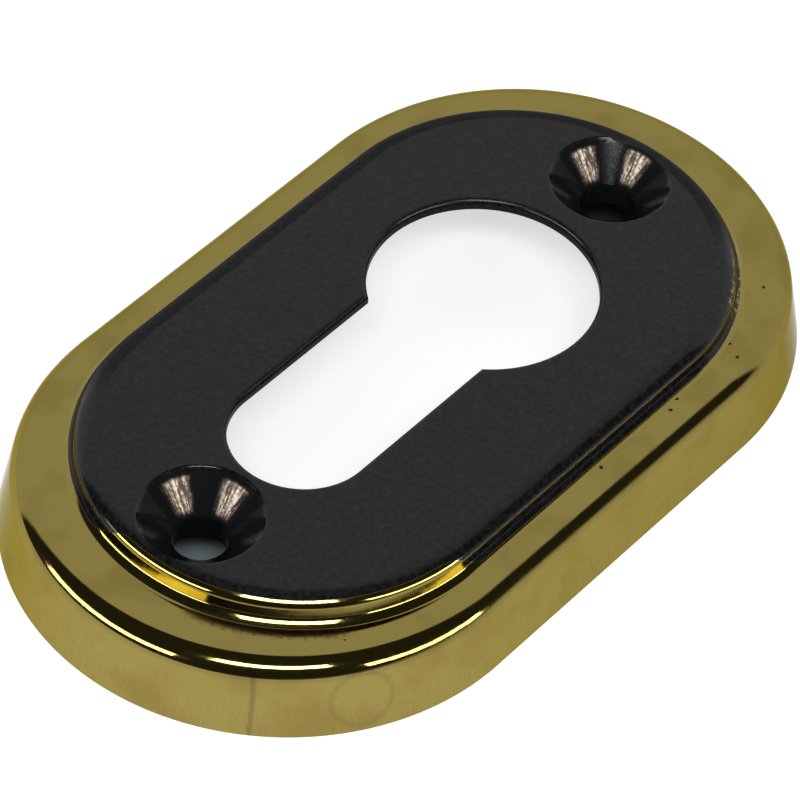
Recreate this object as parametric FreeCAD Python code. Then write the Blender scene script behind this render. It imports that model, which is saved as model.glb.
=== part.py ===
import math
import os

import FreeCAD
import Part

# Keyhole escutcheon: one brass casting with a hollow back, for a profile cylinder lock.
# Millimetres. The back plane is z = 0 and the front faces +Z.
# The round end of the keyhole points to +Y. The origin is the middle of the back.

# Keyhole: a round hole over a straight slot with a round end
cylinder_radius = 8.7
cylinder_y = 8.2
slot_width = 10.8
slot_run = 20.7
keyhole_edge_radius = 0.45

# Two countersunk screw holes, one past each end of the keyhole
screw_web = 0.8
screw_hole_radius = 2.1
countersink_radius = 4.7
countersink_angle_deg = 90.0
countersink_lip_radius = 0.3
screw_bore_length = 2.0
collar_wall = 1.3

# Raised field round the holes: metal beside the round hole, and past each countersink
plate_height = 8.0
field_side_margin = 7.65
field_end_margin = 1.15
field_foot_radius = 0.35

# The field's rim turns down in a wide arc, from rim_split_deg above level in a tighter one,
# and ends in a short wall that leans out like the rest of a casting's sides
rim_upper_radius = 1.8
rim_lower_radius = 0.8
rim_split_deg = 45.0
field_wall_lean_deg = 15.0

# Border round the field: a low crown, a round shoulder and an outer wall that leans out
border_side_width = 4.15
border_end_width = 5.75
crest_drop = 1.85
crown_rise = 0.15
shoulder_radius = 1.85
wall_lean_deg = 11.0

# Hollow back
face_wall = 0.9
border_wall = 1.2
side_wall = 1.3
hollow_corner_radius = 0.8

# How far a cutting solid runs past what it cuts, and how near counts as touching
overrun = 1.0
tolerance = 0.001

# Sizes that follow from the ones above
slot_radius = slot_width / 2
slot_end_y = cylinder_y - slot_run
keyhole_reach = max(cylinder_y + cylinder_radius, slot_radius - slot_end_y)
screw_y = keyhole_reach + screw_web + countersink_radius
field_radius = cylinder_radius + field_side_margin
field_end_y = screw_y + countersink_radius + field_end_margin
field_straight = field_end_y - field_radius
plate_radius = field_radius + border_side_width
plate_straight = field_end_y + border_end_width - plate_radius
crest_z = plate_height - crest_drop
field_foot_z = crest_z - crown_rise
rim_split = math.radians(rim_split_deg)
rim_step = rim_upper_radius - rim_lower_radius
rim_centre_z = plate_height - rim_upper_radius + rim_step * math.sin(rim_split)
field_wall_lean = math.radians(field_wall_lean_deg)
field_wall_top_z = rim_centre_z + rim_lower_radius * math.sin(field_wall_lean)
wall_lean = math.radians(wall_lean_deg)
countersink_half_angle = math.radians(countersink_angle_deg / 2)
cone_foot_z = plate_height - (countersink_radius - screw_hole_radius) / math.tan(countersink_half_angle)
quarter_turn = math.pi / 2


# Sections are drawn in the plane y = 0: reach is the distance out from the middle line

def point(reach, z):
    return FreeCAD.Vector(reach, 0, z)


def on_circle(centre, radius, angle):
    return centre + point(radius * math.cos(angle), radius * math.sin(angle))


def arc(centre, radius, start_angle, end_angle):
    start = on_circle(centre, radius, start_angle)
    middle = on_circle(centre, radius, (start_angle + end_angle) / 2)
    end = on_circle(centre, radius, end_angle)
    return Part.Arc(start, middle, end).toShape()


def section_face(edges):
    return Part.Face(Part.Wire(edges))


def rounded_section(bottom_z, back_reach, lean, top_z, corner_radius):
    # A flat-topped section whose side leans from back_reach at z = 0 and rounds into its top
    corner_z = top_z - corner_radius
    corner_reach = back_reach - corner_z * math.tan(lean) - corner_radius / math.cos(lean)
    corner = arc(point(corner_reach, corner_z), corner_radius, lean, quarter_turn)
    side_end, top_end = corner.Vertexes[0].Point, corner.Vertexes[-1].Point
    bottom_reach = back_reach - bottom_z * math.tan(lean)
    return section_face([
        Part.makeLine(point(0, bottom_z), point(bottom_reach, bottom_z)),
        Part.makeLine(point(bottom_reach, bottom_z), side_end),
        corner,
        Part.makeLine(top_end, point(0, top_z)),
        Part.makeLine(point(0, top_z), point(0, bottom_z)),
    ])


def round_ended(section, half_straight):
    # Carries a section along both straight sides and round both ends
    axis = FreeCAD.Vector(0, 0, 1)
    far_centre = FreeCAD.Vector(0, half_straight, 0)
    near_centre = FreeCAD.Vector(0, -half_straight, 0)
    near_section = section.translated(near_centre)
    far_end = section.translated(far_centre).revolve(far_centre, axis, 180)
    near_end = near_section.revolve(near_centre, axis, -180)
    right_side = near_section.extrude(far_centre - near_centre)
    left_side = right_side.mirror(FreeCAD.Vector(0, 0, 0), FreeCAD.Vector(1, 0, 0))
    return far_end.fuse([near_end, right_side, left_side]).removeSplitter()


def border_solid():
    # The shoulder is tangent to the leaning wall and to the crown, which is level at its crest
    shoulder_z = crest_z - shoulder_radius
    crest_reach = plate_radius - shoulder_z * math.tan(wall_lean) - shoulder_radius / math.cos(wall_lean)
    shoulder = arc(point(crest_reach, shoulder_z), shoulder_radius, wall_lean, quarter_turn)
    # The crown sinks by crown_rise from the crest to the foot of the field's round ends.
    # It is level at both, so a dip follows the rounded part.
    foot_reach = field_end_y - plate_straight
    crown_width = crest_reach - foot_reach
    crown_radius = (crown_width**2 + crown_rise**2) / (4 * crown_rise)
    crown_angle = math.asin(crown_width / (2 * crown_radius))
    crown_centre = point(crest_reach, crest_z - crown_radius)
    crown = arc(crown_centre, crown_radius, quarter_turn, quarter_turn + crown_angle)
    dip_centre = point(foot_reach, field_foot_z + crown_radius)
    dip = arc(dip_centre, crown_radius, crown_angle - quarter_turn, -quarter_turn)
    section = section_face([
        Part.makeLine(point(0, 0), point(plate_radius, 0)),
        Part.makeLine(point(plate_radius, 0), shoulder.Vertexes[0].Point),
        shoulder,
        crown,
        dip,
        Part.makeLine(dip.Vertexes[-1].Point, point(0, field_foot_z)),
        Part.makeLine(point(0, field_foot_z), point(0, 0)),
    ])
    return round_ended(section, plate_straight)


def field_wall_reach(z):
    # The wall is field_radius out at the foot of the field's round ends, and leans in above it
    return field_radius - (z - field_foot_z) * math.tan(field_wall_lean)


def field_solid():
    # Both arcs of the rim are tangent where they meet, and the lower one is tangent to the wall
    lower_reach = field_wall_reach(rim_centre_z) - rim_lower_radius / math.cos(field_wall_lean)
    lower_centre = point(lower_reach, rim_centre_z)
    upper_centre = on_circle(lower_centre, -rim_step, rim_split)
    lower = arc(lower_centre, rim_lower_radius, field_wall_lean, rim_split)
    upper = arc(upper_centre, rim_upper_radius, rim_split, quarter_turn)
    bottom_z = field_foot_z / 2
    bottom_corner = point(field_wall_reach(bottom_z), bottom_z)
    section = section_face([
        Part.makeLine(point(0, bottom_z), bottom_corner),
        Part.makeLine(bottom_corner, lower.Vertexes[0].Point),
        lower,
        upper,
        Part.makeLine(upper.Vertexes[-1].Point, point(0, plate_height)),
        Part.makeLine(point(0, plate_height), point(0, bottom_z)),
    ])
    return round_ended(section, field_straight)


def is_field_foot(edge):
    # True for the edges where the field's wall meets the border
    parameter = (edge.FirstParameter + edge.LastParameter) / 2
    middle = edge.valueAt(parameter)
    past_straight = max(abs(middle.y) - field_straight, 0)
    on_wall = abs(math.hypot(middle.x, past_straight) - field_wall_reach(middle.z)) < tolerance
    below_rim = middle.z < field_wall_top_z - tolerance
    runs_level = abs(edge.tangentAt(parameter).z) < math.sin(quarter_turn / 2)
    return on_wall and below_rim and runs_level


def outer_solid():
    solid = border_solid().fuse(field_solid()).removeSplitter()
    foot_edges = [edge for edge in solid.Edges if is_field_foot(edge)]
    return solid.makeFillet(field_foot_radius, foot_edges)


def hollow_solid():
    # One hollow under the border and a narrower one above it, under the field
    lower_reach = plate_radius - side_wall / math.cos(wall_lean)
    lower_top_z = field_foot_z - border_wall
    lower = rounded_section(-overrun, lower_reach, wall_lean, lower_top_z, hollow_corner_radius)
    upper_reach = field_radius - side_wall
    upper_bottom_z = lower_top_z - overrun
    upper = rounded_section(upper_bottom_z, upper_reach, 0, plate_height - face_wall, hollow_corner_radius)
    return round_ended(lower, plate_straight).fuse(round_ended(upper, field_straight))


def turned(outline, y):
    # Turns a closed outline of points about an upright axis through (0, y)
    face = section_face(outline).translated(FreeCAD.Vector(0, y, 0))
    return face.revolve(FreeCAD.Vector(0, y, 0), FreeCAD.Vector(0, 0, 1), 360)


def collar(y):
    # The collar follows the cone at collar_wall from it, then the straight hole to its end
    collar_radius = screw_hole_radius + collar_wall
    foot_z = cone_foot_z - screw_bore_length
    top_z = plate_height - face_wall / 2
    cone_reach = countersink_radius + collar_wall / math.cos(countersink_half_angle)
    top_reach = cone_reach - (plate_height - top_z) * math.tan(countersink_half_angle)
    neck_z = plate_height - (cone_reach - collar_radius) / math.tan(countersink_half_angle)
    corners = [
        point(0, foot_z),
        point(collar_radius, foot_z),
        point(collar_radius, neck_z),
        point(top_reach, top_z),
        point(0, top_z),
        point(0, foot_z),
    ]
    return turned(Part.makePolygon(corners).Edges, y)


def screw_cutter(y):
    # Straight hole, cone, and a small rounded lip that runs out level with the face
    lip_run = countersink_lip_radius * math.tan((quarter_turn - countersink_half_angle) / 2)
    lip_centre = point(countersink_radius + lip_run, plate_height - countersink_lip_radius)
    lip = arc(lip_centre, countersink_lip_radius, math.pi - countersink_half_angle, quarter_turn)
    cone_foot = point(screw_hole_radius, cone_foot_z)
    lip_foot, lip_end = lip.Vertexes[0].Point, lip.Vertexes[-1].Point
    above = plate_height + overrun
    return turned([
        Part.makeLine(point(0, -overrun), point(screw_hole_radius, -overrun)),
        Part.makeLine(point(screw_hole_radius, -overrun), cone_foot),
        Part.makeLine(cone_foot, lip_foot),
        lip,
        Part.makeLine(lip_end, point(lip_end.x, above)),
        Part.makeLine(point(lip_end.x, above), point(0, above)),
        Part.makeLine(point(0, above), point(0, -overrun)),
    ], y)


def keyhole_cutter():
    height = plate_height + 2 * overrun
    round_hole = Part.makeCylinder(cylinder_radius, height, FreeCAD.Vector(0, cylinder_y, -overrun))
    slot_end = Part.makeCylinder(slot_radius, height, FreeCAD.Vector(0, slot_end_y, -overrun))
    slot_corner = FreeCAD.Vector(-slot_radius, slot_end_y, -overrun)
    slot = Part.makeBox(slot_width, cylinder_y - slot_end_y, height, slot_corner)
    return round_hole.fuse([slot, slot_end]).removeSplitter()


def with_rounded_keyhole(solid):
    # Cuts the keyhole and rounds its front edge all the way round
    cut = solid.cut(keyhole_cutter()).removeSplitter()
    front = [face for face in cut.Faces if face.CenterOfMass.z > plate_height - tolerance][0]
    keyhole_edges = [wire for wire in front.Wires if not wire.isSame(front.OuterWire)][0].Edges
    return cut.makeFillet(keyhole_edge_radius, keyhole_edges)


outer = outer_solid()
screw_places = [screw_y, -screw_y]
collars = [collar(y).common(outer) for y in screw_places]
shell = outer.cut(hollow_solid()).fuse(collars)
escutcheon = with_rounded_keyhole(shell).cut([screw_cutter(y) for y in screw_places])
escutcheon = escutcheon.removeSplitter().Solids[0]

os.makedirs("parts", exist_ok=True)
escutcheon.exportStep("parts/escutcheon.step")
box = escutcheon.optimalBoundingBox(False)
print("escutcheon", round(box.XLength, 3), "x", round(box.YLength, 3), "x", round(box.ZLength, 3), "mm")
print("volume", round(escutcheon.Volume, 1), "mm3, valid", escutcheon.isValid())
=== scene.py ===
import math

import bmesh
import bpy
from mathutils import Euler, Matrix, Vector


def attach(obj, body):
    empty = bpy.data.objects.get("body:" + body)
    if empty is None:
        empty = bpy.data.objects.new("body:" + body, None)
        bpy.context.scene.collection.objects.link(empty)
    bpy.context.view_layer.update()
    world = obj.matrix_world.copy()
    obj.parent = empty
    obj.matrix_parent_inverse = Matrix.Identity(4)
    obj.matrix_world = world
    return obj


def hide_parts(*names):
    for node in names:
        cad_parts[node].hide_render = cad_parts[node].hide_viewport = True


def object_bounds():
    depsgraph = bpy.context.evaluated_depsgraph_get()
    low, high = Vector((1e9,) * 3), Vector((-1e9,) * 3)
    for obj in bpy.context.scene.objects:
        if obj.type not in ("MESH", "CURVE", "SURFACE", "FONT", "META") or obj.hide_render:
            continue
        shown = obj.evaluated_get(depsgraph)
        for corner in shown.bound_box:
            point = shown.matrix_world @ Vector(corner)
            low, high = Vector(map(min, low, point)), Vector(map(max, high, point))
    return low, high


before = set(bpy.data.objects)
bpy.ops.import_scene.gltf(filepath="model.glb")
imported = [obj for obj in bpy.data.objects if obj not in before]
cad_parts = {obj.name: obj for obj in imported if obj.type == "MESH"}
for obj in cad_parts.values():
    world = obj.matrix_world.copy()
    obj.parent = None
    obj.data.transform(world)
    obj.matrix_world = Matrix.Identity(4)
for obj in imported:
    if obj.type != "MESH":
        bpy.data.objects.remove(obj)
cadLow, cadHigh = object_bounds()
mm = 0.001  # every size below is in millimetres unless its name says otherwise
print("frame loaded")


# Sizes of the plate, as the casting has them

plate = {
    "length": (cadHigh.y - cadLow.y) / mm,
    "width": (cadHigh.x - cadLow.x) / mm,
    "height": (cadHigh.z - cadLow.z) / mm,
    "sideBorder": 4.15, "endBorder": 5.75,  # from the outline in to the raised field
    "crestDrop": 1.85, "crownRise": 0.15,
    "shoulderRadius": 1.85, "wallLean": math.radians(11.0),
    "rimUpper": 1.8, "rimLower": 0.8, "rimSplit": math.radians(45.0),
    "fieldLean": math.radians(15.0), "fieldFoot": 0.5,
    "faceWall": 0.9, "borderWall": 1.2, "sideWall": 1.3, "hollowCorner": 0.8,
    "sideSteps": 84, "endSteps": 176,  # divisions along one straight side and round one end
    "wallSteps": 14, "shoulderSteps": 20, "crownSteps": 12, "footSteps": 12, "rimSteps": 10,
    "bottomEdge": 0.12,
}
plateRadius = plate["width"] / 2
plateStraight = plate["length"] / 2 - plateRadius
fieldRadius = plateRadius - plate["sideBorder"]
fieldStraight = plate["length"] / 2 - plate["endBorder"] - fieldRadius
crestZ = plate["height"] - plate["crestDrop"]
shoulderZ = crestZ - plate["shoulderRadius"]
crestReach = plateRadius - shoulderZ * math.tan(plate["wallLean"]) - plate["shoulderRadius"] / math.cos(plate["wallLean"])
crownWidth = crestReach - (fieldStraight + fieldRadius - plateStraight)
crownRadius = (crownWidth**2 + plate["crownRise"]**2) / (4 * plate["crownRise"])

holes = {
    "cylinderRadius": 8.7, "cylinderY": 8.2, "slotRadius": 5.4, "slotEndY": -12.5, "keyholeEdge": 0.45,
    "screwY": 23.4, "screwRadius": 2.1, "sinkRadius": 4.7, "sinkAngle": math.radians(45.0), "sinkLip": 0.3,
    "boreLength": 2.0, "collarWall": 1.3, "steps": 120,
}
coneFoot = plate["height"] - (holes["sinkRadius"] - holes["screwRadius"]) / math.tan(holes["sinkAngle"])


# Outlines and skins

def stadium(reach, halfStraight, sideSteps=plate["sideSteps"], endSteps=plate["endSteps"]):
    # points round a straight-sided, round-ended outline, anticlockwise from the right side
    points = [(reach, halfStraight * (2 * i / sideSteps - 1)) for i in range(sideSteps)]
    turn = [math.pi * i / endSteps for i in range(endSteps)]
    points += [(reach * math.cos(a), halfStraight + reach * math.sin(a)) for a in turn]
    return points + [(-x, -y) for x, y in points]


def level(outline, z):
    return [(x, y, z) for x, y in outline]


def bodyFrom(name, rings, slots=None, materials=()):
    # a closed skin through a stack of rings, capped at both ends; slots names each band's material
    data = bpy.data.meshes.new(name)
    bm = bmesh.new()
    rows = [[bm.verts.new(point) for point in ring] for ring in rings]
    for band, (low, high) in enumerate(zip(rows, rows[1:])):
        for i in range(len(low)):
            face = bm.faces.new((low[i - 1], low[i], high[i], high[i - 1]))
            face.material_index = slots[band] if slots else 0
    bm.faces.new(rows[0]).material_index = slots[0] if slots else 0
    bm.faces.new(rows[-1]).material_index = slots[-1] if slots else 0
    bmesh.ops.remove_doubles(bm, verts=bm.verts, dist=1e-5)
    bmesh.ops.recalc_face_normals(bm, faces=bm.faces)
    bm.to_mesh(data)
    bm.free()
    body = bpy.data.objects.new(name, data)
    for material in materials:
        data.materials.append(material)
    bpy.context.scene.collection.objects.link(body)
    return body


def cutAway(body, tool):
    cut = body.modifiers.new("cut", "BOOLEAN")
    cut.operation, cut.solver, cut.object = "DIFFERENCE", "EXACT", tool
    cut.material_mode = "INDEX"
    depsgraph = bpy.context.evaluated_depsgraph_get()
    result = bpy.data.meshes.new_from_object(body.evaluated_get(depsgraph))
    body.modifiers.clear()
    body.data = result
    bpy.data.objects.remove(tool)


# The outside of the casting

def baseDistance(x, y):
    return math.hypot(x, max(abs(y) - plateStraight, 0))


def crownZ(x, y):
    # level at the crest and again at the foot of the field's round ends
    inward = crestReach - baseDistance(x, y)
    if inward < crownWidth / 2:
        return crestZ - crownRadius + math.sqrt(crownRadius**2 - inward**2)
    return crestZ - plate["crownRise"] + crownRadius - math.sqrt(crownRadius**2 - (crownWidth - inward)**2)


def fieldSection(wall, outward):
    # from the crown, up the worn foot and the short leaning wall, and over both arcs of the rim
    foot, lower, upper = plate["fieldFoot"], plate["rimLower"], plate["rimUpper"]
    split, lean = plate["rimSplit"], plate["fieldLean"]

    def place(reach, z):
        return (wall[0] + outward[0] * (reach - fieldRadius), wall[1] + outward[1] * (reach - fieldRadius), z)

    def wallReach(z):
        return fieldRadius - (z - crestZ + plate["crownRise"]) * math.tan(lean)

    def sweep(reach, z, radius, start, end):
        turns = [start + (end - start) * i / plate["rimSteps"] for i in range(plate["rimSteps"] + 1)]
        return [place(reach + radius * math.cos(a), z + radius * math.sin(a)) for a in turns]

    rimZ = plate["height"] - upper + (upper - lower) * math.sin(split)
    rimReach = wallReach(rimZ) - lower / math.cos(lean)
    cornerZ = crownZ(*place(fieldRadius, 0)[:2])
    toe, corner = wallReach(cornerZ) + foot, wallReach(cornerZ)
    toeZ = crownZ(*place(toe, 0)[:2])
    heelZ = min(cornerZ + foot, rimZ + lower * math.sin(lean))
    heel = wallReach(heelZ)
    bend = [(toe, toeZ), (toe - foot * 0.25, toeZ), (heel * 0.75 + corner * 0.25, heelZ * 0.75 + cornerZ * 0.25), (heel, heelZ)]
    points = []
    for i in range(plate["footSteps"] + 1):
        t = i / plate["footSteps"]
        weights = ((1 - t)**3, 3 * t * (1 - t)**2, 3 * t**2 * (1 - t), t**3)
        points.append(place(*(sum(w * b[k] for w, b in zip(weights, bend)) for k in (0, 1))))
    points += sweep(rimReach, rimZ, lower, lean, split)
    upperReach = rimReach - (upper - lower) * math.cos(split)
    return points + sweep(upperReach, plate["height"] - upper, upper, split, math.pi / 2)[1:]


def makeOutside(materials):
    lean, radius, edge = plate["wallLean"], plate["shoulderRadius"], plate["bottomEdge"]
    rings, slots = [], []

    def add(ring, slot):
        rings.append(ring)
        slots.append(slot)

    edgeReach = plateRadius - edge * math.tan(lean) - edge / math.cos(lean)
    for i in range(5):  # the bottom edge, eased by the polishing wheel
        a = -math.pi / 2 + (math.pi / 2 + lean) * i / 4
        add(level(stadium(edgeReach + edge * math.cos(a), plateStraight), edge + edge * math.sin(a)), 0)
    wallFoot, wallTop = edge + edge * math.sin(lean), shoulderZ + radius * math.sin(lean)
    for i in range(1, plate["wallSteps"]):
        z = wallFoot + (wallTop - wallFoot) * i / plate["wallSteps"]
        add(level(stadium(plateRadius - z * math.tan(lean), plateStraight), z), 0)
    for i in range(plate["shoulderSteps"] + 1):
        a = lean + (math.pi / 2 - lean) * i / plate["shoulderSteps"]
        add(level(stadium(crestReach + radius * math.cos(a), plateStraight), shoulderZ + radius * math.sin(a)), 0)
    crest = rings[-1]
    sections = [fieldSection(wall, way) for wall, way in zip(stadium(fieldRadius, fieldStraight), stadium(1, 0))]
    for i in range(1, plate["crownSteps"]):
        share = i / plate["crownSteps"]
        points = [Vector(c[:2]).lerp(Vector(s[0][:2]), share) for c, s in zip(crest, sections)]
        add([(p.x, p.y, crownZ(p.x, p.y)) for p in points], 0)
    for ring in zip(*sections):
        add(list(ring), 1)
    return bodyFrom("escutcheonBody", rings, slots[:-1], materials)


# The hollow back, with a short collar left round each screw hole

def turned(name, outline, y, slot, materials):
    steps = holes["steps"]
    turns = [2 * math.pi * i / steps for i in range(steps)]
    rings = [[(reach * math.cos(a), y + reach * math.sin(a), z) for a in turns] for reach, z in outline]
    return bodyFrom(name, rings, [slot] * len(rings), materials)


def makeHollow(materials):
    lean, corner, steps = plate["wallLean"], plate["hollowCorner"], 6
    rings = []
    lowReach = plateRadius - plate["sideWall"] / math.cos(lean)
    lowTop = crestZ - plate["crownRise"] - plate["borderWall"]
    cornerZ = lowTop - corner
    cornerReach = lowReach - cornerZ * math.tan(lean) - corner / math.cos(lean)
    rings.append(level(stadium(lowReach + math.tan(lean), plateStraight, 24, 60), -1))
    for i in range(steps + 1):
        a = lean + (math.pi / 2 - lean) * i / steps
        outline = stadium(cornerReach + corner * math.cos(a), plateStraight, 24, 60)
        rings.append(level(outline, cornerZ + corner * math.sin(a)))
    highReach, highTop = fieldRadius - plate["sideWall"], plate["height"] - plate["faceWall"]
    rings.append(level(stadium(highReach, fieldStraight, 24, 60), lowTop))
    for i in range(steps + 1):
        a = math.pi / 2 * i / steps
        outline = stadium(highReach - corner + corner * math.cos(a), fieldStraight, 24, 60)
        rings.append(level(outline, highTop - corner + corner * math.sin(a)))
    hollow = bodyFrom("hollow", rings, [2] * len(rings), materials)
    collarTop, collarReach = plate["height"] - plate["faceWall"] / 2, holes["screwRadius"] + holes["collarWall"]
    coneReach = holes["sinkRadius"] + holes["collarWall"] / math.cos(holes["sinkAngle"])
    topReach = coneReach - (plate["height"] - collarTop) * math.tan(holes["sinkAngle"])
    neckZ = plate["height"] - (coneReach - collarReach) / math.tan(holes["sinkAngle"])
    outline = [(collarReach, coneFoot - holes["boreLength"]), (collarReach, neckZ), (topReach, collarTop)]
    for y in (holes["screwY"], -holes["screwY"]):
        cutAway(hollow, turned("collar", outline, y, 2, materials))
    return hollow


# Tools that open the keyhole and the screw holes

def keyholeOutline(grow):
    # the round hole and the slot below it, both grown by the same amount
    big, small = holes["cylinderRadius"] + grow, holes["slotRadius"] + grow
    notch = math.asin(small / big)
    roundSteps, sideSteps, endSteps = 150, 30, 60
    points = []
    for i in range(roundSteps):
        a = -math.pi / 2 + notch + (2 * math.pi - 2 * notch) * i / roundSteps
        points.append((big * math.cos(a), holes["cylinderY"] + big * math.sin(a)))
    notchY = holes["cylinderY"] - big * math.cos(notch)
    for i in range(sideSteps):
        points.append((-small, notchY + (holes["slotEndY"] - notchY) * i / sideSteps))
    for i in range(endSteps):
        a = math.pi + math.pi * i / endSteps
        points.append((small * math.cos(a), holes["slotEndY"] + small * math.sin(a)))
    for i in range(sideSteps):
        points.append((small, holes["slotEndY"] + (notchY - holes["slotEndY"]) * i / sideSteps))
    return points


def makeKeyholeTool(materials):
    edge, top, steps = holes["keyholeEdge"], plate["height"], 7
    rings = [level(keyholeOutline(0), -1)]
    for i in range(steps + 1):
        a = math.pi / 2 * i / steps
        rings.append(level(keyholeOutline(edge - edge * math.cos(a)), top - edge + edge * math.sin(a)))
    rings.append(level(keyholeOutline(edge), top + 1))
    return bodyFrom("keyholeTool", rings, [1] * len(rings), materials)


def makeSinkTool(y, materials):
    lip, half, top = holes["sinkLip"], holes["sinkAngle"], plate["height"]
    lipReach = holes["sinkRadius"] + lip * math.tan((math.pi / 2 - half) / 2)
    outline = [(holes["screwRadius"], -1), (holes["screwRadius"], coneFoot)]
    for i in range(6):
        a = math.pi - half + (half - math.pi / 2) * i / 5
        outline.append((lipReach + lip * math.cos(a), top - lip + lip * math.sin(a)))
    outline.append((lipReach, top + 1))
    return turned("sinkTool", outline, y, 1, materials)


# Shader graphs

class Sock:
    # one socket, with Python's operators standing for Math nodes
    def __init__(self, graph, socket):
        self.graph, self.socket = graph, socket

    def maths(self, operation, *values):
        return self.graph.maths(operation, *values)

    def __add__(self, other): return self.maths("ADD", self, other)
    def __radd__(self, other): return self.maths("ADD", other, self)
    def __sub__(self, other): return self.maths("SUBTRACT", self, other)
    def __rsub__(self, other): return self.maths("SUBTRACT", other, self)
    def __mul__(self, other): return self.maths("MULTIPLY", self, other)
    def __rmul__(self, other): return self.maths("MULTIPLY", other, self)
    def __truediv__(self, other): return self.maths("DIVIDE", self, other)
    def __rtruediv__(self, other): return self.maths("DIVIDE", other, self)
    def __pow__(self, other): return self.maths("POWER", self, other)
    def __abs__(self): return self.maths("ABSOLUTE", self)


class Graph:
    def __init__(self, tree):
        self.tree = tree
        tree.nodes.clear()

    def add(self, kind, settings=None, inputs=None):
        # any node: its settings first, then a value or a link for each socket
        node = self.tree.nodes.new(kind)
        for name, value in (settings or {}).items():
            if name == "stops":
                for stop in list(node.color_ramp.elements)[1:]:
                    node.color_ramp.elements.remove(stop)
                node.color_ramp.elements[0].position, node.color_ramp.elements[0].color = value[0]
                for position, color in value[1:]:
                    node.color_ramp.elements.new(position).color = color
            else:
                setattr(node, name, value)
        for name, value in (inputs or {}).items():
            if isinstance(value, Sock):
                self.tree.links.new(value.socket, node.inputs[name])
            else:
                node.inputs[name].default_value = value
        return [Sock(self, out) for out in node.outputs]

    def maths(self, operation, *values):
        return self.add("ShaderNodeMath", {"operation": operation}, dict(enumerate(values)))[0]

    def place(self):
        # the point on the object in millimetres, and its three parts
        point = self.add("ShaderNodeTexCoord")[3]
        scaled = self.add("ShaderNodeVectorMath", {"operation": "SCALE"}, {0: point, 3: 1 / mm})[0]
        return scaled, self.add("ShaderNodeSeparateXYZ", None, {0: scaled})

    def noise(self, point, scale, detail=2.0, roughness=0.5, **more):
        inputs = {"Vector": point, "Scale": scale, "Detail": detail, "Roughness": roughness, **more}
        return self.add("ShaderNodeTexNoise", None, inputs)[0]

    def ramp(self, value, low, high, start=0.0, end=1.0):
        # a smooth step from start to end as value goes from low to high
        settings = {"interpolation_type": "SMOOTHSTEP"}
        return self.add("ShaderNodeMapRange", settings, {0: value, 1: low, 2: high, 3: start, 4: end})[0]

    def distance(self, point, centre):
        return self.add("ShaderNodeVectorMath", {"operation": "DISTANCE"}, {0: point, 1: centre})[1]

    def scaled(self, point, factors):
        return self.add("ShaderNodeVectorMath", {"operation": "MULTIPLY"}, {0: point, 1: factors})[0]

    def largest(self, first, second):
        return self.maths("MAXIMUM", first, second)

    def blend(self, share, first, second):
        return self.add("ShaderNodeMix", {"data_type": "RGBA"}, {0: share, 6: first, 7: second})[2]

    def bump(self, height, distance, strength=1.0, **more):
        return self.add("ShaderNodeBump", None, {"Height": height, "Distance": distance * mm, "Strength": strength, **more})[0]

    def rootWear(self, point, x, y, z):
        # the dull root of the border at the near end: how dull, and where it is brown
        past = self.largest(abs(y) - fieldStraight, 0.0)
        reach = (x * x + past * past) ** 0.5 - fieldRadius
        specks = self.noise(point, 3.2, 3.0, 0.65)
        along = abs(0.83 * (x - 9.3) + 0.557 * (y + 27.1))
        near = self.ramp(along + (specks - 0.5), 4.5, 6.5, 1.0, 0.0) * self.ramp(y, -22.0, -20.0, 1.0, 0.0)
        low = self.ramp(z + 0.3 * (specks - 0.5), crestZ - plate["crownRise"] + 0.15, crestZ - plate["crownRise"] + 0.4, 1.0, 0.0)
        dull = near * self.ramp(reach, 1.5, 2.1, 1.0, 0.0) * self.ramp(reach, 0.2, 0.4)
        brown = near * self.largest(low, 0.6) * self.ramp(reach + 1.4 * (specks - 0.5), 1.0, 1.6, 1.0, 0.0)
        return dull, brown

    def finish(self, shader, output="ShaderNodeOutputMaterial"):
        self.add(output, None, {0: shader})


def newMaterial(name):
    material = bpy.data.materials.new(name)
    material.use_nodes = True
    return material, Graph(material.node_tree)


# Polished brass

brass = {
    "color": (0.33, 0.265, 0.075, 1), "tarnish": (0.26, 0.19, 0.05, 1), "stain": (0.2, 0.15, 0.05, 1),
    "rust": (0.11, 0.07, 0.025, 1),
    "roughness": 0.06, "grazing": (0.62, 0.58, 0.4, 1),
    "ringAt": (17.4, -25.6, 3.0), "ringRadius": 2.4,  # dried drop on the outer wall
    "streakTurn": math.radians(35.0),  # where a run mark goes down the near end
    "pits": ((14.64, 23.73), (16.27, 17.24), (17.59, 16.49), (16.89, 10.12), (17.25, 8.93), (17.07, 0.88), (14.12, -24.17)),
}


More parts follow.
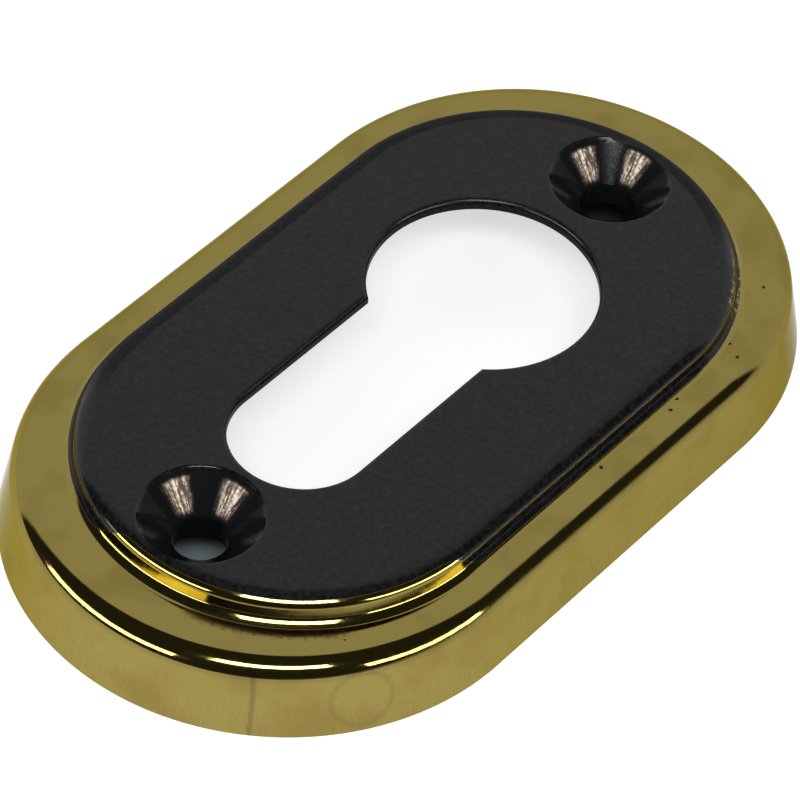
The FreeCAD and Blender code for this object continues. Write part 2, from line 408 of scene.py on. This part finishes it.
def makeBrass():
    material, g = newMaterial("polishedBrass")
    point, (x, y, z) = g.place()
    cloud = g.noise(point, 0.22, 3.0)
    fine = g.noise(point, 1.7, 3.0, 0.6)
    color = g.blend(g.ramp(cloud, 0.42, 0.7, 0.0, 0.6), brass["color"], brass["tarnish"])
    ring = abs(g.distance(point, brass["ringAt"]) + 0.5 * (fine - 0.5) - brass["ringRadius"])
    color = g.blend(g.ramp(ring, 0.05, 0.35, 0.35, 0.0), color, brass["stain"])
    a = brass["streakTurn"]
    aside = abs(x * math.cos(a) + (y + plateStraight) * math.sin(a) + 0.5 * (g.noise(point, 0.6, 2.0) - 0.5))
    streak = g.ramp(aside, 0.08, 0.3, 0.4, 0.0) * g.ramp(z, 5.0, 5.6, 1.0, 0.0) * g.ramp(y, -29.0, -28.0, 1.0, 0.0)
    color = g.blend(streak, color, brass["rust"])
    pitted = 0.0
    for x0, y0 in brass["pits"]:
        spot = g.distance(point, (x0, y0, crestZ)) + 0.35 * (fine - 0.5)
        pitted = g.largest(pitted, g.ramp(spot, 0.04, 0.18, 1.0, 0.0))
    color = g.blend(pitted * 0.85, color, (0.02, 0.014, 0.008, 1))
    dull, brown = g.rootWear(point, x, y, z)
    color = g.blend(brown * 0.9, color, brass["rust"])
    rough = brass["roughness"] + g.ramp(cloud, 0.4, 0.7, 0.0, 0.04) + g.ramp(fine, 0.5, 0.8, 0.0, 0.05) + pitted * 0.3 + dull * 0.1
    ripple = g.noise(point, 0.45, 1.0)
    weave = g.noise(g.scaled(point, (5.0, 5.0, 0.5)), 1.0, 2.0, 0.6)
    color = g.blend(g.ramp(weave, 0.4, 0.7, 0.0, 0.22) * g.ramp(z, 1.5, 4.5, 1.0, 0.0), color, brass["stain"])
    shader = g.add("ShaderNodeBsdfPrincipled", None, {
        "Base Color": color, "Metallic": 1.0, "Roughness": rough, "Specular Tint": brass["grazing"],
        "Normal": g.bump(ripple * 0.7 + 0.15 * fine - pitted * 6.0, 0.01),
    })[0]
    g.finish(shader)
    return material


# Black coating on the raised field, down to its ragged lower edge

coating = {
    "color": (0.002, 0.004, 0.003, 1), "warm": (0.012, 0.009, 0.0105, 1),
    # the last two entries on the next line are painted shade: a darker, duller copy of the coating for the
    # countersinks and bores
    "face": 0.27, "gloss": 0.1, "sink": 0.12, "specular": 0.28, "paintedSinkShade": (0.006, 0.0065, 0.0075, 1), "paintedSinkShadeSpecular": 0.05,
    "paintedStreak": (0.36, 0.28, 0.2, 1), "paintedStreakBright": (0.85, 0.74, 0.62, 1), "paintedStreakAndMattTurn": math.radians(36.3),  # painted highlight streaks in the countersinks face the near right corner; the far rim's matt zone is turned by the same angle
    "highEdge": 7.66, "lowEdge": 6.25,  # where it ends on the rim: at the near end, and elsewhere
    "bareTurn": math.radians(36.3), "bareFrom": 19.3,  # the near end is bare below the high edge
    "bareLine": 7.12,  # height of the thin line where the rim rubbed bare
}


def makeCoating():
    material, g = newMaterial("blackCoating")
    point, (x, y, z) = g.place()
    broad, fine = g.noise(point, 0.5, 4.0, 0.6), g.noise(point, 2.4, 3.0, 0.6)
    a = coating["bareTurn"]
    toward = x * math.sin(a) - y * math.cos(a) + 1.5 * (broad - 0.5)
    edge = g.ramp(toward, coating["bareFrom"], coating["bareFrom"] + 2.0, coating["lowEdge"], coating["highEdge"])
    past = g.largest(abs(y) - fieldStraight, 0.0)
    inField = g.ramp((x * x + past * past) ** 0.5, fieldRadius - 2.0, fieldRadius - 1.8, 1.0, 0.0)
    coated = g.largest(g.ramp(z + 0.1 * (fine - 0.5), edge - 0.015, edge + 0.015), inField)
    chips = g.ramp(fine + 0.3 * g.noise(point, 6.0, 2.0), 0.66, 0.7) * g.ramp(g.distance(point, (13.3, 22.0, 7.4)), 2.0, 3.5, 1.0, 0.0) * g.ramp(z, 7.4, 7.6, 1.0, 0.0)
    bare = g.ramp(abs(z - coating["bareLine"] + 0.06 * (broad - 0.5)), 0.04, 0.09, 1.0, 0.0) * g.ramp(fine, 0.35, 0.6, 0.5, 1.0)
    coated = coated * (1 - g.largest(chips, bare) * (1 - inField))
    rounded = g.ramp(z, plate["height"] - 0.3, plate["height"] - 0.1, 1.0, 0.0)
    color = g.blend(g.ramp(fine, 0.35, 0.7), coating["color"], coating["warm"])
    color = g.blend(coated, brass["color"], color)
    dull, brown = g.rootWear(point, x, y, z)
    color = g.blend(brown * (1 - coated) * 0.5, color, brass["rust"])
    rough = coated * (coating["face"] + rounded * (coating["gloss"] - coating["face"])) + (1 - coated) * (brass["roughness"] + 0.1 * dull)
    sunk, turn, a = 0.0, 0.0, coating["paintedStreakAndMattTurn"]
    for y0 in (holes["screwY"], -holes["screwY"]):
        inSink = g.ramp(g.distance(g.scaled(point, (1, 1, 0)), (0, y0, 0)), holes["sinkRadius"] + 0.05, holes["sinkRadius"] + 0.1, 1.0, 0.0)
        aside, ahead = x * math.cos(a) + (y - y0) * math.sin(a), (y - y0) * math.cos(a) - x * math.sin(a)
        sunk, turn = g.largest(sunk, inSink), turn + inSink * g.maths("ARCTAN2", aside, ahead)
    # fine lines run down the countersinks; two streaks of bright painted highlight on their walls stand in for the
    # lamps' reflection
    lines = g.noise(g.add("ShaderNodeCombineXYZ", None, {0: turn * 14.0, 1: z * 0.8, 2: 0.0})[0], 1.0, 3.0, 0.6)
    grit = g.noise(point, 5.0, 3.0, 0.7)
    paintedGlint = g.ramp(lines + 0.4 * (grit - 0.5), 0.38, 0.56)
    paintedStreak = g.largest(g.ramp(abs(turn + 0.56), 0.1, 0.36, 1.0, 0.0), g.ramp(abs(turn - 0.58), 0.1, 0.36, 1.0, 0.0))
    paintedStreak = paintedStreak * sunk * g.ramp(z, coneFoot + 0.05, coneFoot + 0.5) * g.ramp(z, plate["height"] - 0.6, plate["height"] - 0.35, 1.0, 0.0)
    paintedStreakColor = g.blend(g.ramp(lines + 0.8 * (grit - 0.5), 0.5, 0.64), coating["paintedStreak"], coating["paintedStreakBright"])
    # painted highlight: the streak colour brightens the countersink walls where the lamps' glints would show
    color = g.blend(paintedStreak * (0.25 + 0.75 * paintedGlint), color, paintedStreakColor)
    rough = rough + sunk * (coating["sink"] - coating["face"] + 0.2 * (lines - 0.5)) + paintedStreak * 0.2
    end = y - g.maths("MINIMUM", g.largest(y, -fieldStraight), fieldStraight)
    beyond = (end * math.cos(a) - x * math.sin(a)) / g.largest((x * x + past * past) ** 0.5, 1.0)
    matt = coated * (1 - inField) * g.ramp(beyond, 0.0, 0.45)
    shader = g.add("ShaderNodeBsdfPrincipled", None, {
        "Base Color": color, "Metallic": 1 - coated, "Roughness": rough + 0.08 * (fine - 0.4) + 0.7 * matt,
        "Specular IOR Level": coating["specular"], "Normal": g.bump(0.5 * lines * sunk + 0.3 * fine * inField, 0.012),
    })[0]
    # painted shade: a darker, duller copy of the coating fills the countersinks and bores, away from the painted
    # highlight streaks and the lip
    paintedSinkShade = g.add("ShaderNodeBsdfPrincipled", None, {
        "Base Color": coating["paintedSinkShade"], "Roughness": coating["sink"], "Specular IOR Level": coating["paintedSinkShadeSpecular"],
    })[0]
    paintedShadeInSink = sunk * (1 - paintedStreak) * g.ramp(z, plate["height"] - 0.35, plate["height"] - 0.15, 0.9, 0.0)
    g.finish(g.add("ShaderNodeMixShader", None, {0: paintedShadeInSink, 1: shader, 2: paintedSinkShade})[0])
    return material


# Cast brass of the back, as it left the mould

def makeCastBrass():
    material, g = newMaterial("castBrass")
    point, (x, y, z) = g.place()
    grain = g.noise(point, 3.0, 4.0, 0.6)
    color = g.blend(grain, (0.30, 0.21, 0.07, 1), (0.45, 0.35, 0.13, 1))
    shader = g.add("ShaderNodeBsdfPrincipled", None, {
        "Base Color": color, "Metallic": 1.0, "Roughness": g.ramp(grain, 0.3, 0.7, 0.42, 0.55),
        "Normal": g.bump(grain, 0.12),
    })[0]
    g.finish(shader)
    return material


# Build the plate

def makePlate():
    materials = [makeBrass(), makeCoating(), makeCastBrass()]
    body = makeOutside(materials)
    print("outside made")
    cutAway(body, makeHollow(materials))
    cutAway(body, makeKeyholeTool(materials))
    for y in (holes["screwY"], -holes["screwY"]):
        cutAway(body, makeSinkTool(y, materials))
    data = body.data
    data.transform(Matrix.Scale(mm, 4))
    data.polygons.foreach_set("use_smooth", [True] * len(data.polygons))
    data.set_sharp_from_angle(angle=math.radians(28))
    weighted = body.modifiers.new("weighted", "WEIGHTED_NORMAL")
    weighted.keep_sharp, weighted.weight = True, 100
    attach(body, "root")
    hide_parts("escutcheon")
    print("plate made:", len(data.polygons), "faces")
    return body


makePlate()


# Floor, backdrop and light

studio = {
    # the hole colour is painted shade on the floor under the near screw hole
    "floorColor": (0.5, 0.5, 0.5, 1), "paintedHoleShade": (0.17, 0.21, 0.215, 1), "floorGlow": 0.5, "floorFar": 0.3, "floorShown": 0.66, "floorSize": 4.0,
    "skyOver": 0.72, "skyNear": 0.035, "skyLow": 0.62, "skyTilt": math.radians(4),
    "cameraAzimuth": math.radians(36.3),
    "distance": 2.0,
    # soft boxes: azimuth from and to (0 is the camera's side), elevation from and to, height, radiance
    "overCamera": (-24, 28, 53, 53, 11, 14.0),
    "right": (38, 84, 29, 17, 12, 6.5),
    "left": (-90, -34, 15, 23, 12, 6.5),
}


def makeFloor():
    material, g = newMaterial("paleFloor")
    point, (x, y, z) = g.place()
    path = g.add("ShaderNodeLightPath")
    past = g.largest(abs(y) - plateStraight, 0.0)
    aside = (x * x + past * past) ** 0.5 - plateRadius
    # painted light: the floor's glow seen in reflections is strongest by the plate's outline and towards the near
    # end, fades further off, and is cut to nothing under the plate as painted shade
    near = g.ramp(aside, 0.0, 25.0, studio["floorGlow"], studio["floorFar"]) * g.ramp(y, -35.0, 25.0, 1.2, 0.88)
    near = near * g.ramp(aside, -1.0, 0.0)
    seen = g.largest(path[0], path[6]) * studio["floorShown"] + path[3] * near
    # painted shade: under each screw hole the floor loses its glow and takes a dark colour, which under the near hole
    # lightens toward the camera's side, standing for the shade beneath the plate
    nearSpot, farSpot = (-2.4, -19.9, 0), (-2.5, 27.4, 0)
    nearClear, farClear = [g.ramp(g.distance(point, spot), 3.0, 4.0) for spot in (nearSpot, farSpot)]
    clear = nearClear * farClear
    a = studio["cameraAzimuth"]
    toward = (x - nearSpot[0]) * math.sin(a) - (y - nearSpot[1]) * math.cos(a)
    paintedShadePatch = g.blend(g.ramp(toward, -1.2, 1.6), (0.01, 0.012, 0.013, 1), studio["paintedHoleShade"])
    glow = g.add("ShaderNodeEmission", None, {"Color": (1, 1, 1, 1), "Strength": seen * clear})[0]
    shade = g.blend(farClear, (0.02, 0.02, 0.02, 1), g.blend(nearClear, paintedShadePatch, studio["floorColor"]))
    base = g.add("ShaderNodeBsdfDiffuse", None, {"Color": shade})[0]
    g.finish(g.add("ShaderNodeAddShader", None, {0: base, 1: glow})[0])
    bpy.ops.mesh.primitive_plane_add(size=studio["floorSize"], location=(0, 0, 0))
    floor = bpy.context.object
    floor.name = "floor"
    floor.data.materials.append(material)


def makeSky():
    # even over and beyond the plate, darker on the camera's side
    world = bpy.data.worlds.new("studioSky")
    bpy.context.scene.world = world
    world.use_nodes = True
    g = Graph(world.node_tree)
    way = g.add("ShaderNodeTexCoord")[0]
    a, tilt = studio["cameraAzimuth"], studio["skyTilt"]
    pole = (math.sin(a) * math.cos(tilt), -math.cos(a) * math.cos(tilt), -math.sin(tilt))
    near = g.add("ShaderNodeVectorMath", {"operation": "DOT_PRODUCT"}, {0: way, 1: pole})[1]
    side = g.add("ShaderNodeVectorMath", {"operation": "DOT_PRODUCT"}, {0: way, 1: (math.cos(a), math.sin(a), 0)})[1]
    side = g.largest(side, 0.0)
    over = g.ramp(near - 0.14 * side, -0.4, -0.33, studio["skyOver"], studio["skyNear"])
    height = g.add("ShaderNodeSeparateXYZ", None, {0: way})[2]
    low = g.ramp(height - 0.18 * side, -0.15, 0.09, studio["skyLow"], 0.0)
    strength = g.largest(over, low)
    path = g.add("ShaderNodeLightPath")
    total = path[0] + (1 - path[0]) * strength
    g.finish(g.add("ShaderNodeBackground", None, {"Color": (1, 1, 1, 1), "Strength": total})[0], "ShaderNodeOutputWorld")


def makeSoftBox(name):
    # a long curved soft box, as a row of flat panels that face the plate
    start, end, startRise, endRise, tall, radiance = studio[name]
    count = math.ceil((end - start) / 9)
    step = math.radians((end - start) / count)
    for i in range(count):
        share = (i + 0.5) / count
        a = studio["cameraAzimuth"] + math.radians(start) + step * (i + 0.5)
        rise = math.radians(startRise + (endRise - startRise) * share)
        way = Vector((math.sin(a) * math.cos(rise), -math.cos(a) * math.cos(rise), math.sin(rise)))
        data = bpy.data.lights.new(name + str(i + 1), "AREA")
        data.shape = "RECTANGLE"
        data.size = 2 * studio["distance"] * math.tan(step / 2) * math.cos(rise)
        data.size_y = 2 * studio["distance"] * math.tan(math.radians(tall) / 2)
        data.energy = radiance * 4 * data.size * data.size_y
        lamp = bpy.data.objects.new(data.name, data)
        lamp.location = way * studio["distance"]
        lamp.rotation_mode = "QUATERNION"
        lamp.rotation_quaternion = way.to_track_quat("Z", "Y")
        bpy.context.scene.collection.objects.link(lamp)


def makeCamera():
    data = bpy.data.cameras.new("camera")
    data.lens, data.sensor_width = 222.11, 36.0
    data.clip_start, data.clip_end = 0.01, 20
    camera = bpy.data.objects.new("camera", data)
    camera.location = Vector((149.97, -204.04, 265.82)) * mm
    camera.rotation_euler = Euler([math.radians(a) for a in (43.6816, -3.2852, 39.8816)], "XYZ")
    bpy.context.scene.collection.objects.link(camera)
    bpy.context.scene.camera = camera


makeFloor()
makeSky()
for name in ("overCamera", "right", "left"):
    makeSoftBox(name)
makeCamera()
bpy.context.scene.view_settings.view_transform = "Standard"
print("studio made")
